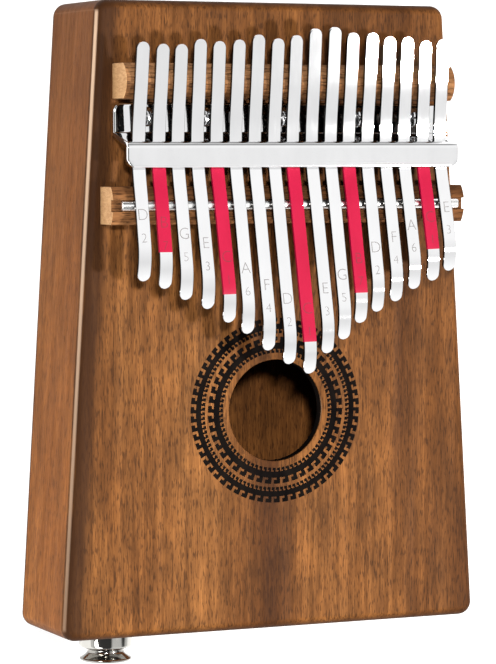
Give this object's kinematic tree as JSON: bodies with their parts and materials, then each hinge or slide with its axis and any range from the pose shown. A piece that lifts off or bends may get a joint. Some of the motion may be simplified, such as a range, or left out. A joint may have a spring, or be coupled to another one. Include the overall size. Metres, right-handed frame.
{
  "type": "box mbira",
  "caption": "Trapezoid wooden box mbira with a round sound hole, bridges, a bent chrome bracket holding a fan of steel tines, and an end-pin pickup jack.",
  "frame": {"origin": "middle of the back plate's outer face, on which the instrument lies", "axes": "+Z out of the soundboard, +Y along the body towards the narrow end with the tine tails, +X to the player's right as the soundboard is looked at with the narrow end up"},
  "size_m": [0.1336, 0.194, 0.0584],
  "materials": {
    "soundboard_wood": "satin oiled, open grain",
    "side_wood": "satin lacquer",
    "bridge_wood": "bare, sanded",
    "plain_wood": "bare",
    "chrome": "polished plate",
    "tine_steel": "bright nickel plate, slightly brushed",
    "tine_steel_red": "red lacquer in front of the bar, bright plate at the tip and the tail",
    "screw_steel": "polished",
    "black_plastic": "moulded",
    "brass": "rolled",
    "ceramic": "silvered ceramic",
    "lead_jacket": "soft vinyl"
  },
  "bodies": {
    "body": {"soundboard": "soundboard_wood", "back_plate": "soundboard_wood", "side_left": "side_wood", "side_right": "side_wood", "top_rail": "side_wood", "bottom_rail": "side_wood", "bridge_block": "plain_wood", "front_bridge": "bridge_wood", "back_bridge": "bridge_wood", "saddle_rod": "chrome", "tine_bracket": "chrome", "bracket_screw_1": "screw_steel", "bracket_screw_2": "screw_steel", "bracket_screw_3": "screw_steel", "bracket_screw_4": "screw_steel", "bracket_screw_5": "screw_steel", "jack_barrel": "chrome", "jack_collar": "chrome", "strap_button": "chrome", "jack_washer": "chrome", "jack_inner_nut": "chrome", "jack_insulator": "black_plastic", "tip_terminal": "brass", "ground_terminal": "brass", "pickup_disc": "brass", "pickup_ceramic": "ceramic", "pickup_lead": "lead_jacket"},
    "tine_01": {"tine_01": "tine_steel"},
    "tine_02": {"tine_02": "tine_steel_red"},
    "tine_03": {"tine_03": "tine_steel"},
    "tine_04": {"tine_04": "tine_steel"},
    "tine_05": {"tine_05": "tine_steel_red"},
    "tine_06": {"tine_06": "tine_steel"},
    "tine_07": {"tine_07": "tine_steel"},
    "tine_08": {"tine_08": "tine_steel"},
    "tine_09": {"tine_09": "tine_steel_red"},
    "tine_10": {"tine_10": "tine_steel"},
    "tine_11": {"tine_11": "tine_steel"},
    "tine_12": {"tine_12": "tine_steel_red"},
    "tine_13": {"tine_13": "tine_steel"},
    "tine_14": {"tine_14": "tine_steel"},
    "tine_15": {"tine_15": "tine_steel"},
    "tine_16": {"tine_16": "tine_steel_red"},
    "tine_17": {"tine_17": "tine_steel"}
  },
  "joints": [
    {"name": "tine_01_press", "type": "hinge", "parent": "body", "child": "tine_01", "pos_m": [0.001, 0.0334, 0.0479], "axis": [1, 0, 0], "range_deg": [0, 2.5], "stiffness_Nm_per_rad": 9.5},
    {"name": "tine_02_press", "type": "hinge", "parent": "body", "child": "tine_02", "pos_m": [0.001, 0.0334, 0.0479], "axis": [1, 0, 0], "range_deg": [0, 2.5], "stiffness_Nm_per_rad": 8.6},
    {"name": "tine_03_press", "type": "hinge", "parent": "body", "child": "tine_03", "pos_m": [0.001, 0.0334, 0.0479], "axis": [1, 0, 0], "range_deg": [0, 2.5], "stiffness_Nm_per_rad": 7.5},
    {"name": "tine_04_press", "type": "hinge", "parent": "body", "child": "tine_04", "pos_m": [0.001, 0.0334, 0.0479], "axis": [1, 0, 0], "range_deg": [0, 2.5], "stiffness_Nm_per_rad": 6.8},
    {"name": "tine_05_press", "type": "hinge", "parent": "body", "child": "tine_05", "pos_m": [0.001, 0.0334, 0.0479], "axis": [1, 0, 0], "range_deg": [0, 2.5], "stiffness_Nm_per_rad": 6},
    {"name": "tine_06_press", "type": "hinge", "parent": "body", "child": "tine_06", "pos_m": [0.001, 0.0334, 0.0479], "axis": [1, 0, 0], "range_deg": [0, 2.5], "stiffness_Nm_per_rad": 5.5},
    {"name": "tine_07_press", "type": "hinge", "parent": "body", "child": "tine_07", "pos_m": [0.001, 0.0334, 0.0479], "axis": [1, 0, 0], "range_deg": [0, 2.5], "stiffness_Nm_per_rad": 4.8},
    {"name": "tine_08_press", "type": "hinge", "parent": "body", "child": "tine_08", "pos_m": [0.001, 0.0334, 0.0479], "axis": [1, 0, 0], "range_deg": [0, 2.5], "stiffness_Nm_per_rad": 4.4},
    {"name": "tine_09_press", "type": "hinge", "parent": "body", "child": "tine_09", "pos_m": [0.001, 0.0334, 0.0479], "axis": [1, 0, 0], "range_deg": [0, 2.5], "stiffness_Nm_per_rad": 4.1},
    {"name": "tine_10_press", "type": "hinge", "parent": "body", "child": "tine_10", "pos_m": [0.001, 0.0334, 0.0479], "axis": [1, 0, 0], "range_deg": [0, 2.5], "stiffness_Nm_per_rad": 4.7},
    {"name": "tine_11_press", "type": "hinge", "parent": "body", "child": "tine_11", "pos_m": [0.001, 0.0334, 0.0479], "axis": [1, 0, 0], "range_deg": [0, 2.5], "stiffness_Nm_per_rad": 5.1},
    {"name": "tine_12_press", "type": "hinge", "parent": "body", "child": "tine_12", "pos_m": [0.001, 0.0334, 0.0479], "axis": [1, 0, 0], "range_deg": [0, 2.5], "stiffness_Nm_per_rad": 5.8},
    {"name": "tine_13_press", "type": "hinge", "parent": "body", "child": "tine_13", "pos_m": [0.001, 0.0334, 0.0479], "axis": [1, 0, 0], "range_deg": [0, 2.5], "stiffness_Nm_per_rad": 6.4},
    {"name": "tine_14_press", "type": "hinge", "parent": "body", "child": "tine_14", "pos_m": [0.001, 0.0334, 0.0479], "axis": [1, 0, 0], "range_deg": [0, 2.5], "stiffness_Nm_per_rad": 7},
    {"name": "tine_15_press", "type": "hinge", "parent": "body", "child": "tine_15", "pos_m": [0.001, 0.0334, 0.0479], "axis": [1, 0, 0], "range_deg": [0, 2.5], "stiffness_Nm_per_rad": 8},
    {"name": "tine_16_press", "type": "hinge", "parent": "body", "child": "tine_16", "pos_m": [0.001, 0.0334, 0.0479], "axis": [1, 0, 0], "range_deg": [0, 2.5], "stiffness_Nm_per_rad": 8.9},
    {"name": "tine_17_press", "type": "hinge", "parent": "body", "child": "tine_17", "pos_m": [0.001, 0.0334, 0.0479], "axis": [1, 0, 0], "range_deg": [0, 2.5], "stiffness_Nm_per_rad": 10.1}
  ]
}
